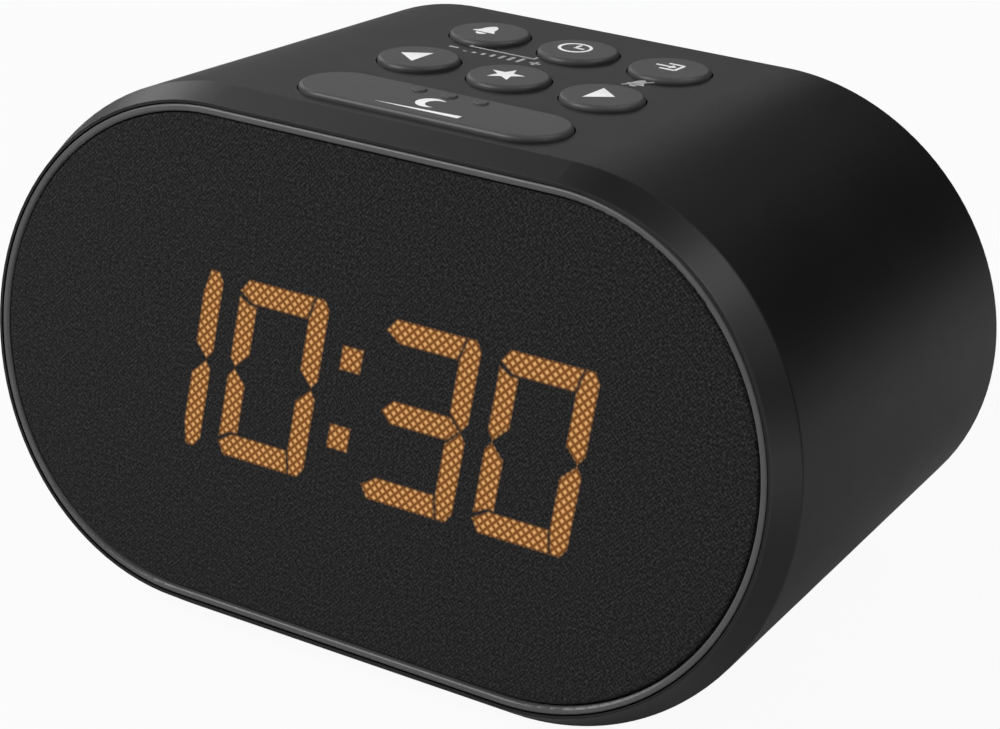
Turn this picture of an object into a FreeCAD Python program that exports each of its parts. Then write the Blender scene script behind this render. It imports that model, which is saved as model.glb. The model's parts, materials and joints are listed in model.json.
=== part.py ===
import FreeCAD, Part
import math
import os
import Sketcher
from FreeCAD import Placement, Rotation, Vector

# Bedside clock radio: a stadium-shaped sleeve that narrows towards the back, a cloth-covered
# front with a four-digit display behind it, and seven keys on its sloping top.
# Millimetres. X to the right, Y to the back, Z up. The origin is on the table, under the middle.

doc = FreeCAD.newDocument("bedside_clock_radio")

SIZES = [
    # outer form
    ("face_lean", 10.8),            # degrees that the front leans back
    ("face_half", 35.2),            # half of the straight run of the front's outline
    ("opening_radius", 43.5),       # end radius of the cloth that shows
    ("rim_width", 1.3),             # bead round the cloth
    ("rim_groove", 0.2),            # shadow gap outside the bead
    ("lip_width", 0.5),             # flat lip at the sleeve's mouth
    ("chamfer_rise", 2.8),          # widest outline outside the mouth
    ("chamfer_depth", 5.6),         # from the mouth back to the widest outline
    ("edge_round", 1.0),            # rounding of the widest outline
    ("rear_narrow", 1.0),           # straight run lost from the front's half to the rear's
    ("rear_taper", 3.7),            # end radius lost from the widest outline to the rear
    ("rear_round", 1.0),
    ("body_depth", 90.4),           # middle of the front to the rear plane
    ("foot_height", 1.0),           # feet below the floor of the sleeve
    ("wall", 2.4),                  # sleeve wall
    ("gap", 0.3),                   # clearance between moulded pieces
    ("slip", 0.08),                 # radial clearance of a stem in its guide
    # front
    ("frame_depth", 7.0),           # front frame, front to back
    ("frame_flange", 1.2),          # flange that carries the panel
    ("flange_reach", 3.1),          # flange inside the opening
    ("flange_wall", 1.2),           # flange inside the cored channel
    ("frame_bead", 0.45),           # rounding of the bead
    ("ledge", 1.6),                 # ledge in the sleeve behind the frame
    ("cloth_setback", 0.6),         # cloth behind the bead's front
    ("cloth_thick", 0.5),
    ("panel_thick", 2.0),
    # display
    ("display_x", -1.95),           # middle of the digits, right of the front's middle
    ("digit_width", 19.0),
    ("digit_height", 32.6),
    ("digit_pitch", 23.0),
    ("pair_pitch", 54.3),           # hours digit to its minutes digit
    ("digit_slant", 5.2),           # degrees
    ("stroke_side", 3.9),           # width of the upright strokes
    ("stroke_bar", 4.1),            # width of the level strokes
    ("segment_gap", 0.4),           # dark line between two segments
    ("dot_size", 4.3),
    ("dot_rise", 7.15),             # colon dots above and below the middle
    ("module_border", 2.0),         # display block outside the digits
    ("module_depth", 8.0),
    ("board_thick", 1.6),
    ("board_margin", 5.6),          # display board above and below its block
    ("light_short", 0.5),           # light guides end before the board
    # speakers
    ("speaker_space", 0.63),        # basket to the display block
    ("speaker_room", 1.07),         # basket to the frame's flange
    ("speaker_half", 10.0),
    ("speaker_flange", 1.2),
    ("speaker_depth", 7.2),
    ("speaker_skin", 1.0),
    ("speaker_lip", 1.5),           # flange outside the cone's opening
    ("ear_radius", 2.6),
    ("ear_offset", 2.0),            # ears' middles beyond the basket's ends
    ("magnet_radius", 6.0),
    ("magnet_depth", 4.0),
    ("slot_width", 1.8),            # sound slots in the panel
    # keys
    ("key_proud", 0.95),
    ("key_radius", 7.6),
    ("key_space", 1.05),            # between the flanges of keys side by side
    ("front_share", 0.324),         # of the free run, in front of the front row
    ("middle_share", 0.33),         # of the free run, between the rows
    ("key_round", 0.8),
    ("key_flange", 1.3),            # flange outside the key's hole
    ("key_flange_thick", 1.1),
    ("key_travel", 0.6),
    ("snooze_half", 19.1),
    ("snooze_radius", 7.9),
    ("snooze_margin", 3.1),         # sleeve's top front edge to the snooze bar
    ("snooze_cap", 1.8),            # cap below the sleeve's top
    ("snooze_front", 5.3),          # from the cap's middle to its web's front
    ("snooze_stem_x", 14.0),
    ("bump_pitch", 6.4),
    ("bump_offset", 4.9),           # bumps behind the snooze bar's middle
    ("bump_radius", 1.35),
    ("bump_height", 0.35),
    ("stem_radius", 2.5),
    ("stem_length", 3.9),
    ("guide_room", 0.7),            # between a pressed key's flange and the guide
    ("guide_thick", 1.2),
    ("guide_clear", 1.8),           # guide behind the heads of the frame's screws
    ("guide_margin", 1.5),          # guide outside the rear keys and the screw posts
    ("boss_room", 1.1),             # screw bosses beside the keys
    ("boss_inset", 4.5),            # screws from the guide's ends
    ("switch_side", 6.0),
    ("switch_height", 3.5),
    ("plunger_radius", 1.75),
    ("plunger_length", 1.9),
    ("plunger_spare", 0.5),         # plunger left above its switch when pressed
    # main board and sockets
    ("standoff", 5.0),
    ("main_half", 45.0),
    ("main_length", 52.3),
    ("main_rear", 2.2),             # behind the board, up to the rear cover
    ("main_hole_inset", 5.0),
    ("power_room", 3.4),            # power socket beside the board's screw head
    ("power_side", 9.0),
    ("power_height", 11.0),
    ("power_length", 13.7),
    ("power_collar", 4.2),
    ("power_bore", 3.15),
    ("power_pin", 1.0),
    ("usb_x", 9.0),
    ("usb_width", 13.2),
    ("usb_height", 5.7),
    ("usb_length", 14.0),
    ("usb_wall", 0.35),
    ("aux_x", -10.0),
    ("aux_side", 6.4),
    ("aux_height", 6.0),
    ("aux_length", 10.5),
    ("aux_collar", 2.9),
    ("aux_bore", 1.8),
    ("bore_depth", 11.0),
    ("socket_setback", 0.5),        # sockets' mouths behind the cover's outside
    ("parts_inset", 9.0),           # board's front edge to what stands on it
    ("shield_side", 16.0),
    ("shield_height", 3.2),
    ("capacitor_radius", 3.15),
    ("capacitor_height", 8.0),
    # rear cover
    ("cover_recess", 1.5),
    ("cover_thick", 2.4),
    ("cover_round", 0.6),
    ("boss_radius", 3.5),
    ("boss_length", 12.0),
    ("vent_length", 26.0),
    ("vent_width", 2.2),
    ("vent_pitch", 5.2),
    ("vent_rise", 12.0),            # vents above the cover's middle
    # screws
    ("screw_radius", 1.1),
    ("screw_head", 2.1),
    ("screw_cap", 1.4),
    ("rear_screw_radius", 1.4),
    ("rear_screw_head", 2.7),
    ("screw_clear", 0.05),
    ("screw_bite", 3.7),
    ("post_radius", 2.5),
    # feet and backup cell
    ("foot_radius", 5.0),
    ("foot_seat", 0.8),
    ("foot_round", 0.4),
    ("foot_x", 28.0),
    ("foot_inset", 10.0),           # from the floor's front and rear edges
    ("cell_inset", 24.6),           # from the floor's front edge
    ("cell_radius", 10.0),
    ("cell_thick", 3.2),
    ("contact_thick", 0.3),
    ("door_width", 28.0),
    ("door_length", 24.0),
    ("door_thick", 1.6),
    ("door_corner", 2.5),
    ("door_ledge", 1.6),            # block outside the door
    ("door_screw", 2.7),            # screw's middle to the door's edges
    ("block_roof", 1.4),
]

UPRIGHT = 90        # degrees, the turn of a plane that stands up
VENTS = 7           # slots in the rear cover
SLOTS = 5           # sound slots in front of each speaker
DIAGONAL = 45       # degrees, where fasteners sit on the rounded ends


class Size:
    """A length or an angle, held as its number and as the expression that gives it."""

    def __init__(self, number, text):
        self.number = number
        self.text = text

    def __add__(self, other):
        other = size(other)
        return Size(self.number + other.number, f"({self.text} + {other.text})")

    def __sub__(self, other):
        other = size(other)
        return Size(self.number - other.number, f"({self.text} - {other.text})")

    def __mul__(self, other):
        other = size(other)
        return Size(self.number * other.number, f"({self.text} * {other.text})")

    def __truediv__(self, other):
        other = size(other)
        return Size(self.number / other.number, f"({self.text} / {other.text})")

    def __neg__(self):
        return Size(-self.number, f"(-1 * {self.text})")

    def __rsub__(self, other):
        return size(other) - self

    def __rmul__(self, other):
        return size(other) * self


def size(value):
    """A plain number as a Size; a Size stays as it is."""
    if isinstance(value, Size):
        return value
    return Size(float(value), repr(float(value)))


def sine(angle):
    angle = size(angle)
    return Size(math.sin(math.radians(angle.number)), f"sin({angle.text})")


def cosine(angle):
    angle = size(angle)
    return Size(math.cos(math.radians(angle.number)), f"cos({angle.text})")


def tangent(angle):
    return sine(angle) / cosine(angle)


def root(value):
    return Size(math.sqrt(value.number), f"sqrt({value.text})")


def slope_of(rise, run):
    """The angle of a line in degrees, as a plain number."""
    number = math.degrees(math.atan2(rise.number, run.number))
    return Size(number, f"(atan2({rise.text}; {run.text}) / 1 deg)")


sheet = doc.addObject("Spreadsheet::Sheet", "Sizes")
for row, (alias, value) in enumerate(SIZES, start=1):
    sheet.set(f"A{row}", alias)
    sheet.set(f"B{row}", str(value))
    sheet.setAlias(f"B{row}", alias)
layout = doc.addObject("Spreadsheet::Sheet", "Layout")
layout_names = []
doc.recompute()


def given(alias):
    """A driving dimension from the sheet."""
    return Size(float(getattr(sheet, alias)), f"Sizes.{alias}")


def derived(alias, value):
    """Keep a worked-out size in the layout sheet, and use it from there by its name."""
    layout_names.append(alias)
    row = len(layout_names)
    layout.set(f"A{row}", alias)
    layout.set(f"B{row}", f"={value.text}")
    layout.setAlias(f"B{row}", alias)
    doc.recompute()
    return Size(float(getattr(layout, alias)), f"Layout.{alias}")


class Frame:
    """A plane through (0, y, z), turned about X by its tilt, that pieces and sketches lie on."""

    def __init__(self, y, z, tilt):
        self.y = size(y)
        self.z = size(z)
        self.tilt = size(tilt)

    def point(self, along, height):
        """The Y and Z of the point that far along the plane and that far above it."""
        y = self.y + along * cosine(self.tilt) - height * sine(self.tilt)
        z = self.z + along * sine(self.tilt) + height * cosine(self.tilt)
        return y, z

    def raised(self, height):
        y, z = self.point(size(0), size(height))
        return Frame(y, z, self.tilt)

    def height_of(self, spot):
        """How far a point of the document lies above the plane, as a number."""
        turn = math.radians(self.tilt.number)
        return (spot.z - self.z.number) * math.cos(turn) - (spot.y - self.y.number) * math.sin(turn)


def hold(item, prop, frame):
    """Bind an object's placement property to a frame."""
    setattr(item, prop, Placement(Vector(0, 0, 0), Rotation(Vector(1, 0, 0), 30)))
    item.setExpression(f"{prop}.Base.y", frame.y.text)
    item.setExpression(f"{prop}.Base.z", frame.z.text)
    item.setExpression(f"{prop}.Rotation.Angle", frame.tilt.text)


# --- outlines: each returns a function that draws itself into a sketch ---------------------------

def fix_point(sketch, geometry, position, x, y):
    """Place a point of a sketch by two bound distances from the sketch's origin."""
    for kind, axis, value in (("DistanceX", -2, size(x)), ("DistanceY", -1, size(y))):
        if value.text == "0.0":
            sketch.addConstraint(Sketcher.Constraint("PointOnObject", geometry, position, axis))
            continue
        index = sketch.addConstraint(
            Sketcher.Constraint(kind, -1, 1, geometry, position, value.number))
        sketch.setExpression(f"Constraints[{index}]", value.text)


def fix_radius(sketch, geometry, radius):
    radius = size(radius)
    index = sketch.addConstraint(Sketcher.Constraint("Radius", geometry, radius.number))
    sketch.setExpression(f"Constraints[{index}]", radius.text)


def spot_of(x, y):
    return Vector(size(x).number, size(y).number, 0)


def circle(x, y, radius):
    def draw(sketch):
        ring = Part.Circle(spot_of(x, y), Vector(0, 0, 1), size(radius).number)
        index = sketch.addGeometry(ring)
        fix_radius(sketch, index, radius)
        fix_point(sketch, index, 3, x, y)
    return draw


def polygon(points):
    def draw(sketch):
        corners = [spot_of(x, y) for x, y in points]
        nexts = corners[1:] + corners[:1]
        lines = [sketch.addGeometry(Part.LineSegment(*pair)) for pair in zip(corners, nexts)]
        for line, after in zip(lines, lines[1:] + lines[:1]):
            sketch.addConstraint(Sketcher.Constraint("Coincident", line, 2, after, 1))
        for line, (x, y) in zip(lines, points):
            fix_point(sketch, line, 1, x, y)
    return draw


def rectangle(x, y, width, height):
    left, right = size(x) - size(width) / 2, size(x) + size(width) / 2
    low, high = size(y) - size(height) / 2, size(y) + size(height) / 2
    return polygon([(left, low), (right, low), (right, high), (left, high)])


def rounded(centres, radius):
    """Arcs of one radius about centres taken counter-clockwise, joined by tangent lines."""
    def draw(sketch):
        spots = [spot_of(x, y) for x, y in centres]
        starts = []
        for before, spot in zip(spots[-1:] + spots[:-1], spots):
            run = spot - before
            starts.append(math.atan2(-run.x, run.y))
        arcs = []
        for spot, first, last in zip(spots, starts, starts[1:] + starts[:1]):
            ring = Part.Circle(spot, Vector(0, 0, 1), size(radius).number)
            if last <= first:
                last += 2 * math.pi
            arcs.append(sketch.addGeometry(Part.ArcOfCircle(ring, first, last)))
        for here, there in zip(arcs, arcs[1:] + arcs[:1]):
            ends = sketch.Geometry[here].EndPoint, sketch.Geometry[there].StartPoint
            line = sketch.addGeometry(Part.LineSegment(*ends))
            sketch.addConstraint(Sketcher.Constraint("Tangent", here, 2, line, 1))
            sketch.addConstraint(Sketcher.Constraint("Tangent", line, 2, there, 1))
        for arc, (x, y) in zip(arcs, centres):
            fix_point(sketch, arc, 3, x, y)
            fix_radius(sketch, arc, radius)
    return draw


def stadium(x, y, half, radius):
    """A level slot: two half circles, each that far from its middle."""
    return rounded([(size(x) + half, y), (size(x) - half, y)], radius)


def upright(x, y, half, radius):
    return rounded([(x, size(y) - half), (x, size(y) + half)], radius)


def soft_rectangle(x, y, width, height, radius):
    across = size(width) / 2 - radius
    along = size(height) / 2 - radius
    x, y = size(x), size(y)
    return rounded([(x + across, y - along), (x + across, y + along),
                    (x - across, y + along), (x - across, y - along)], radius)


# --- features ------------------------------------------------------------------------------------

pieces = []


def piece(label, frame):
    """A new sub-part, placed in a frame."""
    item = doc.addObject("PartDesign::Body", label)
    item.Label = label
    hold(item, "Placement", frame)
    pieces.append(item)
    return item


def outline(item, place, shapes):
    """A sketch on the body's own XY plane, at a height above it or in a frame of its own."""
    sketch = item.newObject("Sketcher::SketchObject", f"{item.Name}_outline")
    plane = [part for part in item.Origin.OriginFeatures if part.Role == "XY_Plane"][0]
    sketch.AttachmentSupport = [(plane, "")]
    sketch.MapMode = "FlatFace"
    hold(sketch, "AttachmentOffset", place if isinstance(place, Frame) else Frame(0, place, 0))
    for shape in shapes:
        shape(sketch)
    return sketch


def pad(item, place, shapes, length, down=False):
    feature = item.newObject("PartDesign::Pad", f"{item.Name}_pad")
    feature.Profile = outline(item, place, shapes)
    feature.setExpression("Length", size(length).text)
    feature.Reversed = down
    doc.recompute()


def pocket(item, place, shapes, depth, up=False):
    """Cut outlines down into the body from a height, or up."""
    before = item.Shape.Volume
    feature = item.newObject("PartDesign::Pocket", f"{item.Name}_pocket")
    feature.Profile = outline(item, place, shapes)
    feature.setExpression("Length", size(depth).text)
    feature.Reversed = up
    doc.recompute()
    if not item.Shape.Volume < before:
        raise RuntimeError(f"a pocket of {item.Label} cuts nothing")


def loft(item, first, second, cut=False):
    """Join two outlines, each a place and a shape, by a ruled solid, or cut that solid away."""
    kind = "PartDesign::SubtractiveLoft" if cut else "PartDesign::AdditiveLoft"
    sections = [outline(item, place, [shape]) for place, shape in (first, second)]
    feature = item.newObject(kind, f"{item.Name}_loft")
    feature.Profile = sections[0]
    feature.Sections = [sections[1]]
    feature.Ruled = True
    doc.recompute()


def round_edges(item, frame, height, radius, longer=0.0):
    """Round the edges that lie in one plane, leaving out those that are too short."""
    level = size(height).number

    def wanted(edge):
        flat = all(abs(frame.height_of(spot) - level) < 0.001 for spot in edge.discretize(5))
        return flat and edge.Length > longer

    tip = item.Tip
    names = [f"Edge{i}" for i, edge in enumerate(tip.Shape.Edges, start=1) if wanted(edge)]
    feature = item.newObject("PartDesign::Fillet", f"{item.Name}_round")
    feature.Base = (tip, names)
    feature.setExpression("Radius", size(radius).text)
    doc.recompute()


OWN = Frame(0, 0, 0)


# --- derived layout ------------------------------------------------------------------------------

wall, gap = given("wall"), given("gap")
foot_height = given("foot_height")
face_half = given("face_half")
opening_radius = given("opening_radius")
chamfer_depth = given("chamfer_depth")
lean = given("face_lean")
rim_radius = derived("rim_radius", opening_radius + given("rim_width"))
bore_radius = derived("bore_radius", rim_radius + given("rim_groove"))
mouth_radius = derived("mouth_radius", bore_radius + given("lip_width"))
body_radius = derived("body_radius", mouth_radius + given("chamfer_rise"))
rear_half = derived("rear_half", face_half - given("rear_narrow"))
rear_radius = derived("rear_radius", body_radius - given("rear_taper"))

# The bead's lowest point is the foremost, so this puts the middle of the depth at Y = 0.
face_y = derived("face_y", (rim_radius * sine(lean) - given("body_depth")) / 2)
face_z = derived("face_z", foot_height + body_radius * cosine(lean) + chamfer_depth * sine(lean))
rear_y = derived("rear_y", face_y + given("body_depth"))
FACE = Frame(face_y, face_z, derived("face_tilt", UPRIGHT - lean))
REAR = Frame(rear_y, foot_height + rear_radius, UPRIGHT)
FLOOR = OWN

top_y, top_z = FACE.point(body_radius, -chamfer_depth)
top_y, top_z = derived("top_y", top_y), derived("top_z", top_z)
top_drop = top_z - foot_height - 2 * rear_radius
top_slope = derived("top_slope", slope_of(top_drop, rear_y - top_y))
KEYS = Frame(top_y, top_z, -top_slope)
floor_front = derived("floor_front", FACE.point(-body_radius, -chamfer_depth)[0])

flange_front = derived("flange_front", given("cloth_setback") + given("cloth_thick")
                       + given("panel_thick"))
flange_radius = derived("flange_radius", opening_radius - given("flange_reach"))
channel_radius = derived("channel_radius", flange_radius + given("flange_wall"))
frame_line = derived("frame_line", (channel_radius + opening_radius) / 2)
ledge_back = derived("ledge_back", given("frame_depth") + given("ledge"))
channel_depth = derived("channel_depth", given("frame_depth") - flange_front
                        - given("frame_flange"))
screw_hole = derived("screw_hole", given("screw_radius") + given("screw_clear"))
rear_hole = derived("rear_hole", given("rear_screw_radius") + given("screw_clear"))


def on_end(half, radius, side, high):
    """A point on a stadium's rounded end, at the diagonal."""
    x = side * (half + radius * cosine(DIAGONAL))
    return x, high * (radius * sine(DIAGONAL))


def corners(x, y):
    return [(side * x, high * y) for side in (-1, 1) for high in (-1, 1)]


frame_spots = [on_end(face_half, frame_line, side, high) for side in (-1, 1) for high in (-1, 1)]
frame_spots += [(0, frame_line), (0, -frame_line)]

cover_inside = derived("cover_inside", given("cover_recess") + given("cover_thick"))
cover_radius = derived("cover_radius", rear_radius - wall - gap)
boss_line = derived("boss_line", rear_radius - wall - given("boss_radius") + gap + gap)
rear_spots = [on_end(rear_half, boss_line, side, high) for side in (-1, 1) for high in (-1, 1)]

# Keys: heights below the sleeve's top, and rows behind its front edge.
key_seat = derived("key_seat", wall + gap + gap)
stem_top = derived("stem_top", key_seat + given("key_flange_thick"))
stem_foot = derived("stem_foot", stem_top + given("stem_length"))
guide_top = derived("guide_top", stem_top + given("key_travel") + given("guide_room"))
guide_foot = derived("guide_foot", guide_top + given("guide_thick"))
plunger_show = derived("plunger_show", given("key_travel") + given("plunger_spare"))
switch_top = derived("switch_top", stem_foot + plunger_show)
key_board_top = derived("key_board_top", switch_top + given("switch_height"))
key_board_foot = derived("key_board_foot", key_board_top + given("board_thick"))
key_reach = derived("key_reach", given("key_radius") + gap + given("key_flange"))
key_pitch = derived("key_pitch", 2 * key_reach + given("key_space"))
snooze_row = derived("snooze_row", given("snooze_margin") + given("snooze_radius"))
snooze_reach = derived("snooze_reach", given("snooze_radius") + gap + given("key_flange"))
top_run = derived("top_run", (rear_y - top_y - cover_inside) / cosine(top_slope))
free_run = derived("free_run", top_run - snooze_row - snooze_reach - 4 * key_reach)
front_row = derived("front_row", snooze_row + snooze_reach
                    + free_run * given("front_share") + key_reach)
rear_row = derived("rear_row", front_row + 2 * key_reach + free_run * given("middle_share"))
stem_row = derived("stem_row", snooze_row + 2 * gap + given("switch_side") / 4)
KEY_PLACES = [
    ("previous_key", -key_pitch, front_row),
    ("favourite_key", size(0), front_row),
    ("next_key", key_pitch, front_row),
    ("alarm_key", -key_pitch, rear_row),
    ("clock_key", size(0), rear_row),
    ("source_key", key_pitch, rear_row),
]
snooze_stems = [(-given("snooze_stem_x"), stem_row), (given("snooze_stem_x"), stem_row)]
stems = snooze_stems + [(x, row) for label, x, row in KEY_PLACES]
guide_front = derived("guide_front", ledge_back + given("screw_cap") - chamfer_depth
                      + given("guide_clear"))
guide_rear = derived("guide_rear", rear_row + key_reach + given("guide_margin"))
boss_x = derived("boss_x", key_pitch + key_reach + given("boss_room") + given("post_radius"))
guide_half = derived("guide_half", boss_x + given("post_radius") + given("guide_margin"))
tray = rectangle(0, (guide_rear + guide_front) / 2, 2 * guide_half, guide_rear - guide_front)
key_screw_spots = [(side * boss_x, row) for side in (-1, 1)
                   for row in (guide_front + given("boss_inset"),
                               guide_rear - given("boss_inset"))]

# Main board: heights above the table.
floor_top = derived("floor_top", foot_height + wall)
board_low = derived("board_low", floor_top + given("standoff"))
board_top = derived("board_top", board_low + given("board_thick"))
board_rear = derived("board_rear", rear_y - cover_inside - given("main_rear"))
board_front = derived("board_front", board_rear - given("main_length"))
main_hole_x = derived("main_hole_x", given("main_half") - given("main_hole_inset"))
main_spots = [(side * main_hole_x, y) for side in (-1, 1)
              for y in (board_front + given("main_hole_inset"),
                        board_rear - given("main_hole_inset"))]
power_x = derived("power_x", main_hole_x - given("screw_head") - given("power_room")
                  - given("power_side") / 2)
socket_mouth = derived("socket_mouth", rear_y - given("cover_recess") - given("socket_setback"))
collar_back = derived("collar_back", rear_y - cover_inside - gap)

# Backup cell: heights above the table.
door_top = derived("door_top", foot_height + given("door_thick"))
cell_low = derived("cell_low", door_top + gap / 2)
contact_low = derived("contact_low", cell_low + given("cell_thick") + gap / 2)
contact_top = derived("contact_top", contact_low + given("contact_thick"))
block_top = derived("block_top", contact_top + given("block_roof"))
cell_y = derived("cell_y", floor_front + given("cell_inset"))
door_screw_spot = (given("door_width") / 2 - given("door_screw"),
                   cell_y - given("door_length") / 2 + given("door_screw"))
foot_front = derived("foot_front", floor_front + given("foot_inset"))
foot_rear = derived("foot_rear", rear_y - given("foot_inset"))
feet = [("foot_front_left", -given("foot_x"), foot_front),
        ("foot_front_right", given("foot_x"), foot_front),
        ("foot_rear_left", -given("foot_x"), foot_rear),
        ("foot_rear_right", given("foot_x"), foot_rear)]

# Display: the block behind the cloth.
display_x = given("display_x")
digit_half_width = given("digit_width") / 2
digit_half_height = given("digit_height") / 2
slant = tangent(given("digit_slant"))
pair = (given("pair_pitch") + given("digit_pitch")) / 2
digit_places = [display_x - pair, display_x - pair + given("digit_pitch"),
                display_x + pair - given("digit_pitch"), display_x + pair]
module_half = derived("module_half", pair + digit_half_width + digit_half_height * slant
                      + given("module_border"))
module_rise = derived("module_rise", digit_half_height + given("module_border"))
module_front = derived("module_front", given("cloth_setback") + given("cloth_thick"))
module_back = derived("module_back", module_front + given("module_depth"))
board_rise = derived("board_rise", module_rise + given("board_margin"))
display_screw_spots = corners(module_half * 0.8, (module_rise + board_rise) / 2)
display_screw_spots = [(display_x + x, y) for x, y in display_screw_spots]

# Speakers: as wide as fits between the display block and the rounded end of the flange.
speaker_half = given("speaker_half")
speaker_edge = derived("speaker_edge", module_half - display_x + given("speaker_space"))
inside_end = derived("inside_end", speaker_edge - face_half)
end_radius = derived("end_radius", flange_radius - given("speaker_room"))
speaker_radius = derived("speaker_radius", (
    end_radius * end_radius - inside_end * inside_end - speaker_half * speaker_half)
    / (2 * (inside_end + end_radius)))
speaker_x = derived("speaker_x", speaker_edge + speaker_radius)
cone_opening = derived("cone_opening", speaker_radius - given("speaker_lip"))
ear_rise = derived("ear_rise", speaker_half + speaker_radius + given("ear_offset"))
slot_pitch = 2 * cone_opening / SLOTS


# --- sleeve and front ----------------------------------------------------------------------------

def main_housing():
    """One moulded sleeve: chamfered mouth, sloping top, key holes, ledge and screw bosses."""
    item = piece("main_housing", OWN)
    widest = (FACE.raised(-chamfer_depth), stadium(0, 0, face_half, body_radius))
    loft(item, (FACE, stadium(0, 0, face_half, mouth_radius)), widest)
    loft(item, widest, (REAR, stadium(0, 0, rear_half, rear_radius)))
    round_edges(item, FACE, -chamfer_depth, given("edge_round"))
    round_edges(item, REAR, 0, given("rear_round"))
    pocket(item, FACE, [stadium(0, 0, face_half, bore_radius)], given("frame_depth"))
    pocket(item, FACE, [stadium(0, 0, face_half, flange_radius)], ledge_back)
    inside = (FACE.raised(-ledge_back), stadium(0, 0, face_half, body_radius - wall))
    loft(item, inside, (REAR, stadium(0, 0, rear_half, rear_radius - wall)), cut=True)
    pocket(item, FACE, [circle(x, y, screw_hole) for x, y in frame_spots], ledge_back)
    key_holes = [circle(x, row, given("key_radius") + gap) for label, x, row in KEY_PLACES]
    snooze_hole = stadium(0, snooze_row, given("snooze_half"), given("snooze_radius") + gap)
    pocket(item, KEYS.raised(gap), key_holes + [snooze_hole], key_seat + gap)
    bosses = [circle(x, row, given("post_radius")) for x, row in key_screw_spots]
    pad(item, KEYS.raised(-guide_top), bosses, guide_top - wall / 2)
    pilots = [circle(x, row, screw_hole) for x, row in key_screw_spots]
    pocket(item, KEYS.raised(-guide_top), pilots, guide_top - key_seat, up=True)
    boss_start = REAR.raised(cover_inside)
    rear_bosses = [circle(x, y, given("boss_radius")) for x, y in rear_spots]
    pad(item, boss_start, rear_bosses, given("boss_length"))
    rear_pilots = [circle(x, y, rear_hole) for x, y in rear_spots]
    pocket(item, boss_start, rear_pilots, given("boss_length") - wall, up=True)
    standoffs = [circle(x, y, given("post_radius")) for x, y in main_spots]
    pad(item, foot_height + wall / 2, standoffs, board_low - foot_height - wall / 2)
    main_pilots = [circle(x, y, screw_hole) for x, y in main_spots]
    pocket(item, board_low, main_pilots, given("standoff"))
    edge = 2 * given("door_ledge")
    block = rectangle(0, cell_y, given("door_width") + edge, given("door_length") + edge)
    pad(item, foot_height + wall / 2, [block], block_top - foot_height - wall / 2)
    door = soft_rectangle(0, cell_y, given("door_width"), given("door_length"),
                          given("door_corner"))
    pocket(item, foot_height, [door], given("door_thick"), up=True)
    cell = circle(0, cell_y, given("cell_radius") + gap)
    pocket(item, foot_height, [cell], contact_top - foot_height, up=True)
    pocket(item, door_top, [circle(*door_screw_spot, screw_hole)], given("screw_bite"), up=True)
    seats = [circle(x, y, given("foot_radius") + gap / 2) for label, x, y in feet]
    pocket(item, foot_height, seats, given("foot_seat"), up=True)


def front_frame():
    """The bead round the cloth, with a cored flange behind it that carries the panel."""
    item = piece("front_frame", FACE)
    depth = given("frame_depth")
    pad(item, -depth, [stadium(0, 0, face_half, rim_radius)], depth)
    pocket(item, 0, [stadium(0, 0, face_half, opening_radius)], flange_front)
    pocket(item, 0, [stadium(0, 0, face_half, flange_radius)], depth)
    round_edges(item, OWN, 0, given("frame_bead"))
    channel = [stadium(0, 0, face_half, opening_radius), stadium(0, 0, face_half, channel_radius)]
    pocket(item, -depth, channel, channel_depth, up=True)
    posts = [circle(x, y, given("screw_head")) for x, y in frame_spots]
    pad(item, -depth, posts, channel_depth)
    pilots = [circle(x, y, screw_hole) for x, y in frame_spots]
    pocket(item, -depth, pilots, channel_depth, up=True)


def grille_panel():
    """The plate under the cloth: display window, sound slots and posts for the display board."""
    item = piece("grille_panel", FACE)
    pad(item, -flange_front, [stadium(0, 0, face_half, opening_radius - gap)],
        given("panel_thick"))
    pad(item, -flange_front, [circle(x, y, given("post_radius")) for x, y in display_screw_spots],
        module_back - flange_front, down=True)
    pilots = [circle(x, y, screw_hole) for x, y in display_screw_spots]
    pocket(item, -module_back, pilots, given("screw_bite") + gap, up=True)
    window = rectangle(display_x, 0, 2 * (module_half + gap), 2 * (module_rise + gap))
    pocket(item, -module_front, [window], given("panel_thick"))
    slots = []
    for side in (-1, 1):
        for count in range(SLOTS):
            across = (count - (SLOTS - 1) / 2) * slot_pitch
            half = (speaker_half - given("slot_width")
                    + root(cone_opening * cone_opening - across * across))
            slots.append(upright(side * speaker_x + across, 0, half, given("slot_width") / 2))
    pocket(item, -module_front, slots, given("panel_thick"))
    ears = [circle(x, y, screw_hole) for x, y in corners(speaker_x, ear_rise)]
    pocket(item, -flange_front, ears, given("panel_thick") - gap, up=True)


def fabric_cover():
    """The stretched cloth."""
    item = piece("fabric_cover", FACE)
    pad(item, -module_front, [stadium(0, 0, face_half, opening_radius - gap / 2)],
        given("cloth_thick"))


def frame_screws():
    screws("frame_screws", FACE, frame_spots, -ledge_back,
           given("ledge") + channel_depth - 2 * gap)


# --- screws --------------------------------------------------------------------------------------

def screws(label, frame, spots, seat, length, down=False, radius="screw_radius",
           head="screw_head"):
    """Equal screws whose heads lie on a seat and whose shanks point up from it, or down."""
    item = piece(label, frame)
    pad(item, seat, [circle(x, y, given(head)) for x, y in spots], given("screw_cap"),
        down=not down)
    pad(item, seat, [circle(x, y, given(radius)) for x, y in spots], length, down=down)


# --- display -------------------------------------------------------------------------------------

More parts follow.
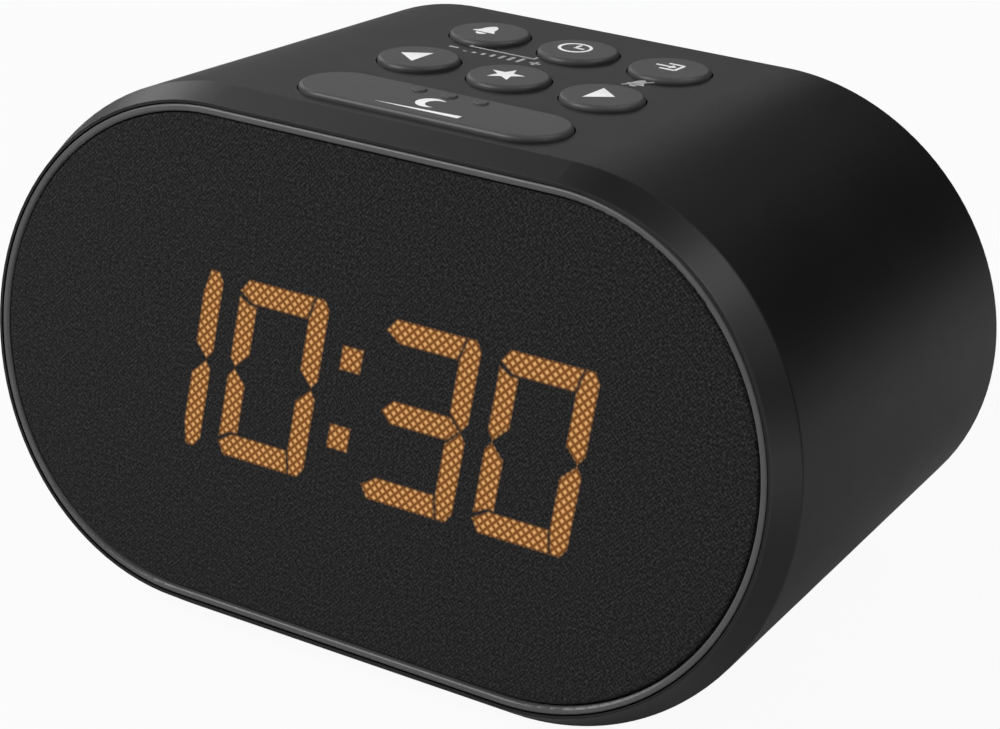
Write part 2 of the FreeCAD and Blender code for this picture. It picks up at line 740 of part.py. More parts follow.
def segments(middle):
    """The seven outlines of one slanted digit: pointed strokes with a dark line between them."""
    wide, tall = digit_half_width, digit_half_height
    side, bar = given("stroke_side"), given("stroke_bar")
    dark = given("segment_gap")
    tip, point, chamfer = side * 0.3, side * 0.4, side * 0.45
    heel, shoulder = side * 0.65, side * 0.75
    inside, waist = tall - bar, bar * 0.7

    def slanted(points):
        return polygon([(middle + x + y * slant, y) for x, y in points])

    def below(points):
        return [(x, -y) for x, y in reversed(points)]

    top = [(-wide, tall - bar * 0.55), (-wide + shoulder, inside), (wide - side - dark, inside),
           (wide - shoulder - dark, tall), (-wide + point, tall)]
    upper_right = [(wide - side, inside), (wide - shoulder, tall), (wide - tip, tall),
                   (wide, tall - chamfer), (wide, chamfer), (wide - tip, dark / 2),
                   (wide - side, waist)]
    upper_left = [(-wide, tall - bar * 0.8), (-wide, chamfer), (-wide + tip, dark / 2),
                  (-wide + side, waist), (-wide + side, inside - dark),
                  (-wide + heel, inside - dark)]
    reach = wide - side + dark / 2
    centre = [(point - wide, size(0)), (-reach, -bar / 2), (reach, -bar / 2),
              (wide - point, size(0)), (reach, bar / 2), (-reach, bar / 2)]
    shapes = (top, upper_right, below(upper_right), below(top), upper_left, below(upper_left),
              centre)
    return [slanted(points) for points in shapes]


def colon():
    """Two square dots between the hours and the minutes, slanted as the digits are."""
    half = given("dot_size") / 2
    dots = []
    for high in (-1, 1):
        level = high * given("dot_rise")
        square = [(-half, level - half), (half, level - half), (half, level + half),
                  (-half, level + half)]
        dots.append(polygon([(display_x + x + y * slant, y) for x, y in square]))
    return dots


def display_reflector():
    """The black block whose cells shape the light."""
    item = piece("display_reflector", FACE)
    block = rectangle(display_x, 0, 2 * module_half, 2 * module_rise)
    pad(item, -module_back, [block], given("module_depth"))
    for middle in digit_places:
        pocket(item, -module_front, segments(middle), given("module_depth"))
    pocket(item, -module_front, colon(), given("module_depth"))


def display_segments():
    """Clear resin that fills the block's cells."""
    item = piece("display_segments", FACE)
    depth = given("module_depth") - given("light_short")
    for middle in digit_places:
        pad(item, -module_front, segments(middle), depth, down=True)
    pad(item, -module_front, colon(), depth, down=True)


def display_board():
    item = piece("display_board", FACE)
    pad(item, -module_back, [rectangle(display_x, 0, 2 * module_half, 2 * board_rise)],
        given("board_thick"), down=True)
    pocket(item, -module_back, [circle(x, y, screw_hole) for x, y in display_screw_spots],
           given("board_thick"))


# --- speakers ------------------------------------------------------------------------------------

def speaker(side, name):
    """An upright oval speaker behind one end of the panel: basket, cone and magnet."""
    middle = side * speaker_x
    skin, depth = given("speaker_skin"), given("speaker_depth")
    back_radius = speaker_radius * 0.7
    back_half = speaker_half * 0.5
    basket = piece(f"speaker_basket_{name}", FACE)
    flange = given("speaker_flange")
    pad(basket, -flange_front, [upright(middle, 0, speaker_half, speaker_radius)], flange,
        down=True)
    ears = [(middle, high * ear_rise) for high in (-1, 1)]
    pad(basket, -flange_front, [circle(x, y, given("ear_radius")) for x, y in ears], flange,
        down=True)
    bucket = (-flange_front - flange, upright(middle, 0, speaker_half, cone_opening + skin))
    loft(basket, bucket, (-flange_front - depth, upright(middle, 0, back_half, back_radius)))
    hollow = (-flange_front, upright(middle, 0, speaker_half, cone_opening))
    floor = (skin - flange_front - depth, upright(middle, 0, back_half, back_radius - skin))
    loft(basket, hollow, floor, cut=True)
    pocket(basket, -flange_front, [circle(x, y, screw_hole) for x, y in ears], flange)

    cone = piece(f"speaker_cone_{name}", FACE)
    skin_thick = given("cloth_thick")
    rim = cone_opening - gap
    neck, neck_half = back_radius * 0.5, back_half * 0.6
    rim_front = -flange_front - skin_thick
    dish = depth * 0.55
    loft(cone, (rim_front, upright(middle, 0, speaker_half - gap, rim)),
         (rim_front - dish, upright(middle, 0, neck_half, neck)))
    loft(cone, (rim_front, upright(middle, 0, speaker_half - gap, rim - skin_thick)),
         (rim_front - dish + skin_thick, upright(middle, 0, neck_half, neck - skin_thick)),
         cut=True)

    magnet = piece(f"speaker_magnet_{name}", FACE)
    pad(magnet, -flange_front - depth, [circle(middle, 0, given("magnet_radius"))],
        given("magnet_depth"), down=True)


# --- keys ----------------------------------------------------------------------------------------

def key(label, x, row):
    """A round key: cap, hidden flange and stem."""
    item = piece(label, KEYS)
    radius, proud = given("key_radius"), given("key_proud")
    pad(item, -key_seat, [circle(x, row, radius)], key_seat + proud)
    round_edges(item, OWN, proud, given("key_round"))
    pad(item, -stem_top, [circle(x, row, key_reach)], given("key_flange_thick"))
    pad(item, -stem_foot, [circle(x, row, given("stem_radius"))], given("stem_length"))


def snooze_bar():
    """The long key: a cap with three touch marks, a web through the sleeve, flange and stems."""
    item = piece("snooze_bar", KEYS)
    proud, cap = given("key_proud"), given("snooze_cap")
    half, radius = given("snooze_half"), given("snooze_radius")
    pad(item, -cap, [stadium(0, snooze_row, half, radius)], cap + proud)
    round_edges(item, OWN, proud, given("key_round"))
    front = given("snooze_front")
    rear = radius - gap * 4
    web = rectangle(0, snooze_row + (rear - front) / 2, 2 * (half + front / 2), rear + front)
    pad(item, -key_seat, [web], key_seat - cap)
    flange = rectangle(0, snooze_row + (snooze_reach - front) / 2,
                       2 * (half + radius * 0.75), snooze_reach + front)
    pad(item, -stem_top, [flange], given("key_flange_thick"))
    pad(item, -stem_foot, [circle(x, y, given("stem_radius")) for x, y in snooze_stems],
        given("stem_length"))
    marks = [circle(count * given("bump_pitch"), snooze_row + given("bump_offset"),
                    given("bump_radius")) for count in (-1, 0, 1)]
    pad(item, proud, marks, given("bump_height"))
    round_edges(item, OWN, proud + given("bump_height"), given("bump_height") * 0.8)


def key_guide():
    """A tray under the sleeve's top: the stems slide in it, and its posts hold the key board."""
    item = piece("key_guide", KEYS)
    pad(item, -guide_foot, [tray], given("guide_thick"))
    pad(item, -guide_foot, [circle(x, y, given("post_radius")) for x, y in key_screw_spots],
        key_board_top - guide_foot, down=True)
    pocket(item, -guide_top, [circle(x, y, screw_hole) for x, y in key_screw_spots],
           key_board_top - guide_top)
    bore = given("stem_radius") + given("slip")
    pocket(item, -guide_top, [circle(x, y, bore) for x, y in stems], given("guide_thick"))


def key_board():
    item = piece("key_board", KEYS)
    pad(item, -key_board_foot, [tray], given("board_thick"))
    pocket(item, -key_board_top, [circle(x, y, screw_hole) for x, y in key_screw_spots],
           given("board_thick"))


def key_switches():
    """Eight push switches on the key board, two of them under the snooze bar."""
    item = piece("key_switches", KEYS)
    side = given("switch_side")
    pad(item, -key_board_top, [rectangle(x, y, side, side) for x, y in stems],
        given("switch_height"))
    bore = given("plunger_radius") + given("slip")
    depth = given("plunger_length") - plunger_show + given("key_travel") + gap
    pocket(item, -switch_top, [circle(x, y, bore) for x, y in stems], depth)


def plunger(label, spots):
    """What a stem presses: it slides into its switch."""
    item = piece(label, KEYS)
    pad(item, -stem_foot, [circle(x, y, given("plunger_radius")) for x, y in spots],
        given("plunger_length"), down=True)


# --- boards and sockets --------------------------------------------------------------------------

def main_board():
    item = piece("main_board", FLOOR)
    board = rectangle(0, (board_front + board_rear) / 2, 2 * given("main_half"),
                      given("main_length"))
    pad(item, board_low, [board], given("board_thick"))
    pocket(item, board_top, [circle(x, y, screw_hole) for x, y in main_spots],
           given("board_thick"))


def tuner_shield():
    """The metal can over the radio receiver."""
    item = piece("tuner_shield", FLOOR)
    side = given("shield_side")
    can = soft_rectangle(-main_hole_x / 2, board_front + given("parts_inset") + side / 2,
                         side, side, 1)
    pad(item, board_top, [can], given("shield_height"))
    round_edges(item, OWN, board_top + given("shield_height"), gap)


def board_capacitors():
    item = piece("board_capacitors", FLOOR)
    radius = given("capacitor_radius")
    row = board_front + given("parts_inset") + 2 * radius
    spots = [(main_hole_x / 2 + count * (2 * radius + gap), row) for count in range(3)]
    pad(item, board_top, [circle(x, y, radius) for x, y in spots], given("capacitor_height"))
    round_edges(item, OWN, board_top + given("capacitor_height"), gap)


def socket_block(item, x, width, height, length):
    """A socket's block on the board, up to the inside of the rear cover."""
    middle = collar_back - size(length) / 2
    pad(item, board_top, [rectangle(x, middle, width, length)], height)


def power_socket():
    """A round power inlet with a centre pin."""
    item = piece("power_socket", FLOOR)
    height = given("power_height")
    socket_block(item, power_x, given("power_side"), height, given("power_length"))
    back = Frame(collar_back, board_top + height / 2, UPRIGHT)
    mouth = Frame(socket_mouth, board_top + height / 2, UPRIGHT)
    pad(item, back, [circle(power_x, 0, given("power_collar"))], socket_mouth - collar_back,
        down=True)
    ring = [circle(power_x, 0, given("power_bore")), circle(power_x, 0, given("power_pin"))]
    pocket(item, mouth, ring, given("bore_depth"), up=True)


def usb_socket():
    """A charging port: a thin shell, open to the back, with its tongue."""
    item = piece("usb_socket", FLOOR)
    x, skin = given("usb_x"), given("usb_wall")
    width, height, length = given("usb_width"), given("usb_height"), given("usb_length")
    mouth = Frame(socket_mouth, board_top + gap + height / 2, UPRIGHT)
    pad(item, mouth, [soft_rectangle(x, 0, width, height, 2 * skin)], length)
    tongue_rise = height / 2 - skin - height / 4
    cavity = soft_rectangle(x, 0, width - 2 * skin, height - 2 * skin, skin)
    tongue = rectangle(x, tongue_rise, width - 8 * skin, height / 4)
    pocket(item, mouth, [cavity, tongue], length - 4 * skin, up=True)


def aux_socket():
    """A 3.5 mm audio socket."""
    item = piece("aux_socket", FLOOR)
    x, height = given("aux_x"), given("aux_height")
    socket_block(item, x, given("aux_side"), height, given("aux_length"))
    back = Frame(collar_back, board_top + height / 2, UPRIGHT)
    mouth = Frame(socket_mouth, board_top + height / 2, UPRIGHT)
    pad(item, back, [circle(x, 0, given("aux_collar"))], socket_mouth - collar_back, down=True)
    pocket(item, mouth, [circle(x, 0, given("aux_bore"))], given("bore_depth"), up=True)


# --- rear cover and base -------------------------------------------------------------------------

def rear_cover():
    """A flat cover set into the sleeve's back, with vents and openings for the sockets."""
    item = piece("rear_cover", REAR)
    recess, thick = given("cover_recess"), given("cover_thick")
    pad(item, recess, [stadium(0, 0, rear_half, cover_radius)], thick)
    round_edges(item, OWN, recess, given("cover_round"), longer=10.0)
    rise = given("vent_rise")
    middle = (VENTS - 1) / 2
    vents = [upright((count - middle) * given("vent_pitch"), rise, given("vent_length") / 2,
                     given("vent_width") / 2) for count in range(VENTS)]
    pocket(item, cover_inside, vents, thick)
    level = board_top - foot_height - rear_radius
    power = circle(power_x, level + given("power_height") / 2,
                   given("power_collar") + gap)
    usb = soft_rectangle(given("usb_x"), level + gap + given("usb_height") / 2,
                         given("usb_width") + 2 * gap, given("usb_height") + 2 * gap, gap * 2)
    aux = circle(given("aux_x"), level + given("aux_height") / 2, given("aux_collar") + gap)
    pocket(item, cover_inside, [power, usb, aux], thick)
    pocket(item, cover_inside, [circle(x, y, rear_hole) for x, y in rear_spots], thick)


def foot(label, x, y):
    item = piece(label, FLOOR)
    pad(item, 0, [circle(x, y, given("foot_radius"))], foot_height + given("foot_seat"))
    round_edges(item, OWN, 0, given("foot_round"))


def cell_door():
    """The screwed-down door of the backup cell, flush with the sleeve's floor."""
    item = piece("cell_door", FLOOR)
    pad(item, foot_height, [soft_rectangle(0, cell_y, given("door_width") - gap,
                                           given("door_length") - gap, given("door_corner"))],
        given("door_thick"))
    pocket(item, foot_height, [circle(*door_screw_spot, given("screw_head") + gap / 2)],
           given("door_thick") / 2, up=True)
    pocket(item, foot_height, [circle(*door_screw_spot, screw_hole)], given("door_thick"),
           up=True)


def cell_door_screw():
    item = piece("cell_door_screw", FLOOR)
    seat = foot_height + given("door_thick") / 2
    head = given("door_thick") / 2 - gap / 2
    pad(item, seat, [circle(*door_screw_spot, given("screw_head"))], head, down=True)
    pad(item, seat, [circle(*door_screw_spot, given("screw_radius"))], given("screw_bite"))


def backup_cell():
    item = piece("backup_cell", FLOOR)
    pad(item, cell_low, [circle(0, cell_y, given("cell_radius"))], given("cell_thick"))
    round_edges(item, OWN, cell_low + given("cell_thick"), gap)


def cell_contact():
    """The spring plate above the cell, here as a flat strip against the block's roof."""
    item = piece("cell_contact", FLOOR)
    pad(item, contact_low, [rectangle(0, cell_y, given("cell_radius"),
                                      given("cell_radius") / 2)], given("contact_thick"))


# --- the whole clock -----------------------------------------------------------------------------

main_housing()
front_frame()
frame_screws()
grille_panel()
fabric_cover()
display_reflector()
display_segments()
display_board()
screws("display_screws", FACE, display_screw_spots, -module_back - given("board_thick"),
       given("board_thick") + given("screw_bite"))
speaker(-1, "left")
speaker(1, "right")
screws("speaker_screws", FACE, corners(speaker_x, ear_rise),
       -flange_front - given("speaker_flange"),
       given("speaker_flange") + given("panel_thick") - 2 * gap)
snooze_bar()
plunger("snooze_plungers", snooze_stems)
for label, x, row in KEY_PLACES:
    key(label, x, row)
    plunger(label.replace("key", "plunger"), [(x, row)])
key_guide()
key_board()
key_switches()
screws("key_screws", KEYS, key_screw_spots, -key_board_foot, key_board_foot - key_seat - gap)
main_board()
tuner_shield()
board_capacitors()
power_socket()
usb_socket()
aux_socket()
screws("main_board_screws", FLOOR, main_spots, board_top,
       given("board_thick") + given("screw_bite"), down=True)
rear_cover()
screws("rear_screws", REAR, rear_spots, given("cover_recess"),
       given("cover_thick") + given("boss_length") - 2 * wall, radius="rear_screw_radius",
       head="rear_screw_head")
for label, x, y in feet:
    foot(label, x, y)
cell_door()
cell_door_screw()
backup_cell()
cell_contact()
doc.recompute()

# --- check and write -----------------------------------------------------------------------------

for item in doc.Objects:
    if "Invalid" in item.State or "Error" in item.State:
        raise RuntimeError(f"{item.Label} failed: {item.State}")
os.makedirs("parts", exist_ok=True)
for item in pieces:
    if item.Shape.isNull() or not item.Shape.isValid() or not item.Shape.Solids:
        raise RuntimeError(f"{item.Label} has no valid shape")
for item in pieces:
    item.Shape.exportStep(f"parts/{item.Label}.step")
print(f"{len(pieces)} sub-parts written")
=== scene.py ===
"""Looks of a bedside clock radio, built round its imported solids. Metres, in the solids' frame."""

import json
import math

import bmesh
import bpy
from mathutils import Matrix, Vector


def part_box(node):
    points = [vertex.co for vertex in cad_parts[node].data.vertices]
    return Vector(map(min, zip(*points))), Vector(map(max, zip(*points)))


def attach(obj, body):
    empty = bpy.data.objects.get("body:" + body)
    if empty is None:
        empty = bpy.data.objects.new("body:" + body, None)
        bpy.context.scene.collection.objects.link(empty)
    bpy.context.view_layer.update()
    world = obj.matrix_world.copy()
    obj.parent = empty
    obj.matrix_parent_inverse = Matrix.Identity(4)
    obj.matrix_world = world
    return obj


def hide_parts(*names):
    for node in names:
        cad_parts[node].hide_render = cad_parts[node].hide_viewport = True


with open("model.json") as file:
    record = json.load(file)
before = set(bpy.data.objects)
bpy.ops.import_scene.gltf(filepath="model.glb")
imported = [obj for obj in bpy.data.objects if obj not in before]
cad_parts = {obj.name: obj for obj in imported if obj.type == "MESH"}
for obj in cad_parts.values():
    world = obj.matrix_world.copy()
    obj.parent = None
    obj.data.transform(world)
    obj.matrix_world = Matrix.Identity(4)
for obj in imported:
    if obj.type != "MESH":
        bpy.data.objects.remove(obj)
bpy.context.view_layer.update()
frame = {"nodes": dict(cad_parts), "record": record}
nodes = frame["nodes"]

MM = 0.001
FIXED = "clock_body"
RIGHT = Vector((1, 0, 0))


# --- planes that pieces are drawn on --------------------------------------------------------------

FACING = 0.9            # least cosine between a face's normal and the side it is looked for on


class Plane:
    """A flat face of a solid: x to the right, y up the face, z out of it, from its middle."""

    def __init__(self, node, toward):
        toward = Vector(toward)
        faces = [f for f in nodes[node].data.polygons if f.normal.dot(toward) > FACING]
        self.normal = max(faces, key=lambda f: f.area).normal.normalized()
        self.up = self.normal.cross(RIGHT).normalized()
        areas = {}
        for face in faces:
            level = round(face.center.dot(self.normal), 5)
            areas[level] = areas.get(level, 0) + face.area
        middle = sum(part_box(node), Vector()) / 2
        level = max(areas, key=areas.get) - middle.dot(self.normal)
        self.origin = middle + self.normal * level

    def matrix(self, z):
        """Where a piece drawn in millimetres goes, with its own z = 0 that far in front."""
        spot = self.origin + self.normal * z * MM
        axes = Matrix((RIGHT, self.up, self.normal)).transposed().to_4x4()
        return Matrix.Translation(spot) @ axes @ Matrix.Scale(MM, 4)


FACE = Plane("fabric_cover", (0, -1, 0))


# --- outlines in millimetres ----------------------------------------------------------------------

def arc(x, y, radius, start, end, steps=16):
    """Points along an arc, angles in degrees."""
    points = []
    for step in range(steps + 1):
        angle = math.radians(start + (end - start) * step / steps)
        points.append((x + radius * math.cos(angle), y + radius * math.sin(angle)))
    return points


def stadium(half, radius, steps=40):
    return arc(half, 0, radius, -90, 90, steps) + arc(-half, 0, radius, 90, 270, steps)


def bar(x0, y0, x1, y1, width):
    """A straight stroke with square ends."""
    run = Vector((x1 - x0, y1 - y0)).normalized() * width / 2
    return [(x0 - run.y, y0 + run.x), (x0 + run.y, y0 - run.x),
            (x1 + run.y, y1 - run.x), (x1 - run.y, y1 + run.x)]


def ring(x, y, radius, width, steps=48):
    """A circle's stroke, as a list of four-sided pieces."""
    outer = arc(x, y, radius, 0, 360, steps)
    inner = arc(x, y, radius - width, 0, 360, steps)
    return [[outer[i], outer[i + 1], inner[i + 1], inner[i]] for i in range(steps)]


def middle_of(points):
    """The middle of an outline's box."""
    spans = [(min(values), max(values)) for values in zip(*points)]
    return tuple((low + high) / 2 for low, high in spans)


# --- pieces ---------------------------------------------------------------------------------------

def finish_piece(name, mesh, matrix, material, body):
    """Put a mesh into the scene, on a body."""
    data = bpy.data.meshes.new(name)
    mesh.to_mesh(data)
    mesh.free()
    item = bpy.data.objects.new(name, data)
    bpy.context.scene.collection.objects.link(item)
    item.matrix_world = matrix
    data.materials.append(material)
    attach(item, body)
    return item


def plate(shapes, thick):
    """Outlines as thin flat plates, in one mesh."""
    mesh = bmesh.new()
    for points in shapes:
        low = [mesh.verts.new((x, y, 0)) for x, y in points]
        face = mesh.faces.new(low)
        face.normal_update()
        if face.normal.z < 0:
            face.normal_flip()
    bmesh.ops.remove_doubles(mesh, verts=mesh.verts, dist=1e-4)
    grown = bmesh.ops.extrude_face_region(mesh, geom=list(mesh.faces))
    tops = [part for part in grown["geom"] if isinstance(part, bmesh.types.BMVert)]
    bmesh.ops.translate(mesh, verts=tops, vec=(0, 0, thick))
    bmesh.ops.recalc_face_normals(mesh, faces=mesh.faces)
    return mesh


# --- materials ------------------------------------------------------------------------------------

def shader(name):
    """A new material: its node tree, its shader and a coordinate in the piece's own units."""
    material = bpy.data.materials.new(name)
    material.use_nodes = True
    tree = material.node_tree
    principled = tree.nodes["Principled BSDF"]
    place = tree.nodes.new("ShaderNodeTexCoord").outputs["Object"]
    return material, tree, principled, place


def link(tree, source, target):
    tree.links.new(source, target)


def noise(tree, place, scale, detail=3.0, rough=0.6):
    node = tree.nodes.new("ShaderNodeTexNoise")
    node.inputs["Scale"].default_value = scale
    node.inputs["Detail"].default_value = detail
    node.inputs["Roughness"].default_value = rough
    link(tree, place, node.inputs["Vector"])
    return node.outputs["Fac"]


def ramp(tree, value, stops):
    """Colours along a value from 0 to 1."""
    node = tree.nodes.new("ShaderNodeValToRGB")
    band = node.color_ramp
    while len(band.elements) < len(stops):
        band.elements.new(0.5)
    for element, (spot, colour) in zip(band.elements, stops):
        element.position = spot
        element.color = (*colour, 1)
    link(tree, value, node.inputs["Fac"])
    return node.outputs["Color"]


def spread(tree, value, low, high):
    """A value from 0 to 1 stretched to a range."""
    node = tree.nodes.new("ShaderNodeMapRange")
    node.inputs["To Min"].default_value = low
    node.inputs["To Max"].default_value = high
    link(tree, value, node.inputs["Value"])
    return node.outputs["Result"]


def maths(tree, kind, *values):
    node = tree.nodes.new("ShaderNodeMath")
    node.operation = kind
    for socket, value in zip(node.inputs, values):
        if isinstance(value, (int, float)):
            socket.default_value = value
        else:
            link(tree, value, socket)
    return node.outputs["Value"]


def bump(tree, principled, height, depth):
    """Relief of a depth in metres."""
    node = tree.nodes.new("ShaderNodeBump")
    node.inputs["Distance"].default_value = depth
    link(tree, height, node.inputs["Height"])
    link(tree, node.outputs["Normal"], principled.inputs["Normal"])


def shade(colour, share):
    return tuple(part * share for part in colour)


def blended(tree, share, first, second):
    """A colour between two, each of them linked or plain."""
    mix = tree.nodes.new("ShaderNodeMix")
    mix.data_type = "RGBA"
    link(tree, share, mix.inputs["Factor"])
    for name, colour in (("A", first), ("B", second)):
        if isinstance(colour, tuple):
            mix.inputs[name].default_value = (*colour, 1)
        else:
            link(tree, colour, mix.inputs[name])
    return mix.outputs["Result"]


WEAR_AND_HIGHLIGHT_REACH = 0.0006     # metres either side of an edge, over which wear and a painted highlight lighten it
WEAR_AND_HIGHLIGHT_GAIN = 14.0        # how fast the wear and painted highlight grow with the turn of the surface
PATCH_SCALE = 60        # soft patches of tone, per metre
PATCH_TONES = (0.88, 1.1)       # how dark and light they are, as shares of a colour
PATCH_GLOSS = 0.03      # how far they move the roughness up or down
GRAIN_GLOSS = 0.05      # how far the grain does
LINE_SCALE = 2500       # drawn lines in metal, per metre
LINE_RELIEF = 0.000004  # metres


def edges(tree):
    """1 on an edge, 0 on flat and gently curved faces."""
    bevel = tree.nodes.new("ShaderNodeBevel")
    bevel.samples = 4
    bevel.inputs["Radius"].default_value = WEAR_AND_HIGHLIGHT_REACH
    own = tree.nodes.new("ShaderNodeNewGeometry")
    dot = tree.nodes.new("ShaderNodeVectorMath")
    dot.operation = "DOT_PRODUCT"
    link(tree, bevel.outputs["Normal"], dot.inputs[0])
    link(tree, own.outputs["Normal"], dot.inputs[1])
    turned = maths(tree, "SUBTRACT", 1.0, dot.outputs["Value"])
    wear = maths(tree, "MULTIPLY", turned, WEAR_AND_HIGHLIGHT_GAIN)
    return maths(tree, "MINIMUM", maths(tree, "MAXIMUM", wear, 0.0), 1.0)


def moulded(name, colour, roughness, grain=4200, relief=0.000012, specular=0.5, unit=1.0, wear_and_highlight=0.0):
    """Moulded plastic: a fine spark-eroded grain with soft changes of tone and gloss.

    The unit is the metres in one unit of the piece's own coordinate. The last argument is how
    much lighter its edges are: rubbed wear, and on the housing a painted highlight too.
    """
    material, tree, principled, place = shader(name)
    patches = noise(tree, place, PATCH_SCALE * unit, 4.0)
    dark, light = (shade(colour, share) for share in PATCH_TONES)
    tone = ramp(tree, patches, [(0.3, dark), (0.7, light)])
    # Edges made lighter: wear, and on the housing a painted highlight of its rounded edges.
    if wear_and_highlight:
        worn_and_highlit = maths(tree, "MULTIPLY", edges(tree), spread(tree, patches, 0.2, 1.0))
        tone = blended(tree, worn_and_highlit, tone, tuple(part + wear_and_highlight for part in colour))
    link(tree, tone, principled.inputs["Base Color"])
    fine = noise(tree, place, grain * unit, 2.0, 0.5)
    gloss = maths(tree, "ADD", spread(tree, fine, -GRAIN_GLOSS, GRAIN_GLOSS),
                  spread(tree, patches, roughness - PATCH_GLOSS, roughness + PATCH_GLOSS))
    link(tree, gloss, principled.inputs["Roughness"])
    principled.inputs["Specular IOR Level"].default_value = specular
    bump(tree, principled, fine, relief)
    return material


def metal(name, colour, roughness, stretch=(1, 1, 1)):
    """Plated or brushed metal: fine drawn lines."""
    material, tree, principled, place = shader(name)
    mapping = tree.nodes.new("ShaderNodeMapping")
    mapping.inputs["Scale"].default_value = stretch
    link(tree, place, mapping.inputs["Vector"])
    lines = noise(tree, mapping.outputs["Vector"], LINE_SCALE, 3.0)
    link(tree, ramp(tree, lines, [(0.25, shade(colour, 0.8)), (0.75, colour)]),
         principled.inputs["Base Color"])
    link(tree, spread(tree, lines, roughness - 0.08, roughness + 0.1),
         principled.inputs["Roughness"])
    principled.inputs["Metallic"].default_value = 1.0
    bump(tree, principled, lines, LINE_RELIEF)
    return material


def lattice(tree, place, pitch):
    """The two diagonal waves of a mesh, each 1 on its threads and 0 halfway between."""
    split = tree.nodes.new("ShaderNodeSeparateXYZ")
    link(tree, place, split.inputs["Vector"])
    x, y = split.outputs["X"], split.outputs["Y"]
    waves = []
    for sign in (1, -1):
        along = maths(tree, "ADD", x, maths(tree, "MULTIPLY", y, sign))
        wave = maths(tree, "COSINE", maths(tree, "MULTIPLY", along, 2 * math.pi / pitch))
        waves.append(maths(tree, "MULTIPLY_ADD", wave, 0.5, 0.5))
    return waves


CLOTH_PITCH = 0.83      # mm between threads of the cloth
THREAD_SHARE = 0.13     # of the weave that is regular threads; the rest is fuzz
WEAVE_RELIEF = 0.00008  # metres
CLOTH_TONES = [(0.38, (0.0018, 0.0017, 0.0019)), (0.52, (0.0107, 0.0101, 0.0104)),
               (0.67, (0.0405, 0.0388, 0.0394))]

FADE = "fade"           # how much of the light shows, from 0 at a stroke's edge
GLOW_PITCH = 1.665      # mm between holes of the cloth's mesh, side by side
GLOW_FUZZ = 0.2         # how far the fuzz moves the light up or down
GLOW_TONES = [(0.0, (0.17, 0.055, 0.008)), (0.15, (0.25, 0.095, 0.018)),
              (0.45, (0.46, 0.20, 0.052)), (0.8, (0.72, 0.40, 0.155))]
UNLIT = (0.012, 0.0095, 0.0085)


def woven(name):
    """Black stretched loudspeaker cloth: fine threads that cross on the diagonal."""
    material, tree, principled, place = shader(name)
    first, second = lattice(tree, place, CLOTH_PITCH)
    fuzz = noise(tree, place, 1.9, 4.0, 0.74)
    threads = maths(tree, "MAXIMUM", first, second)
    weave = maths(tree, "ADD", maths(tree, "MULTIPLY", threads, THREAD_SHARE),
                  maths(tree, "MULTIPLY", fuzz, 1 - THREAD_SHARE))
    link(tree, ramp(tree, weave, CLOTH_TONES), principled.inputs["Base Color"])
    principled.inputs["Roughness"].default_value = 0.9
    principled.inputs["Specular IOR Level"].default_value = 0.16
    principled.inputs["Sheen Weight"].default_value = 0.04
    bump(tree, principled, weave, WEAVE_RELIEF)
    return material


def glowing(name):
    """Amber light seen through the cloth's mesh: bright holes between brown threads."""
    material, tree, principled, place = shader(name)
    first, second = lattice(tree, place, GLOW_PITCH)
    fuzz = noise(tree, place, 2.2, 4.0, 0.7)
    glow = maths(tree, "ADD", maths(tree, "MINIMUM", first, second),
                 spread(tree, fuzz, -GLOW_FUZZ, GLOW_FUZZ))
    edge = tree.nodes.new("ShaderNodeAttribute")
    edge.attribute_name = FADE
    shown = blended(tree, edge.outputs["Fac"], UNLIT, ramp(tree, glow, GLOW_TONES))
    link(tree, shown, principled.inputs["Emission Color"])
    principled.inputs["Emission Strength"].default_value = 1.0
    principled.inputs["Base Color"].default_value = (0.012, 0.009, 0.008, 1)
    principled.inputs["Roughness"].default_value = 0.9
    principled.inputs["Specular IOR Level"].default_value = 0.1
    return material


# The housing's edges are lighter partly as wear and partly as a painted highlight.
HOUSING = moulded("housing_black", (0.004, 0.004, 0.0042), 0.42, specular=0.3, wear_and_highlight=0.03)
BEAD = moulded("frame_grey", (0.078, 0.078, 0.08), 0.42, specular=0.4, wear_and_highlight=0.02)
KEY = moulded("key_grey", (0.056, 0.056, 0.057), 0.45, specular=0.32, wear_and_highlight=0.02)
COVER = moulded("cover_black", (0.02, 0.02, 0.0202), 0.6, grain=2600, relief=0.00002, wear_and_highlight=0.012)
INNER = moulded("inner_black", (0.01, 0.01, 0.01), 0.6)
SWITCH = moulded("switch_black", (0.02, 0.02, 0.02), 0.5)
SOCKET = moulded("socket_black", (0.012, 0.012, 0.012), 0.35)
RUBBER = moulded("rubber_black", (0.014, 0.014, 0.014), 0.85, grain=3000, relief=0.00003,
                 specular=0.3)
RESIN = moulded("amber_resin", (0.6, 0.28, 0.06), 0.3)
BOARD = moulded("board_green", (0.01, 0.07, 0.025), 0.35)
PAPER = moulded("cone_paper", (0.03, 0.03, 0.03), 0.9, grain=1500, relief=0.00005)
STEEL = metal("zinc_steel", (0.55, 0.55, 0.56), 0.3)
DARK_STEEL = metal("black_steel", (0.07, 0.07, 0.072), 0.38)
TIN = metal("tin_plate", (0.62, 0.62, 0.6), 0.28, (1, 12, 1))
MAGNET = metal("nickel", (0.45, 0.45, 0.44), 0.25)
# Painted shade: the dark inside a screw's cross recess, laid on as a flat plate.
RECESS_SHADE = moulded("painted_recess_shade", (0.006, 0.006, 0.006), 0.7, unit=MM)
CLOTH = woven("speaker_cloth")
GLOW = glowing("amber_light")
PRINT = moulded("white_print", (0.92, 0.92, 0.92), 0.55, specular=0.3, unit=MM)
FAINT_PRINT = moulded("grey_print", (0.42, 0.42, 0.42), 0.55, specular=0.3, unit=MM)

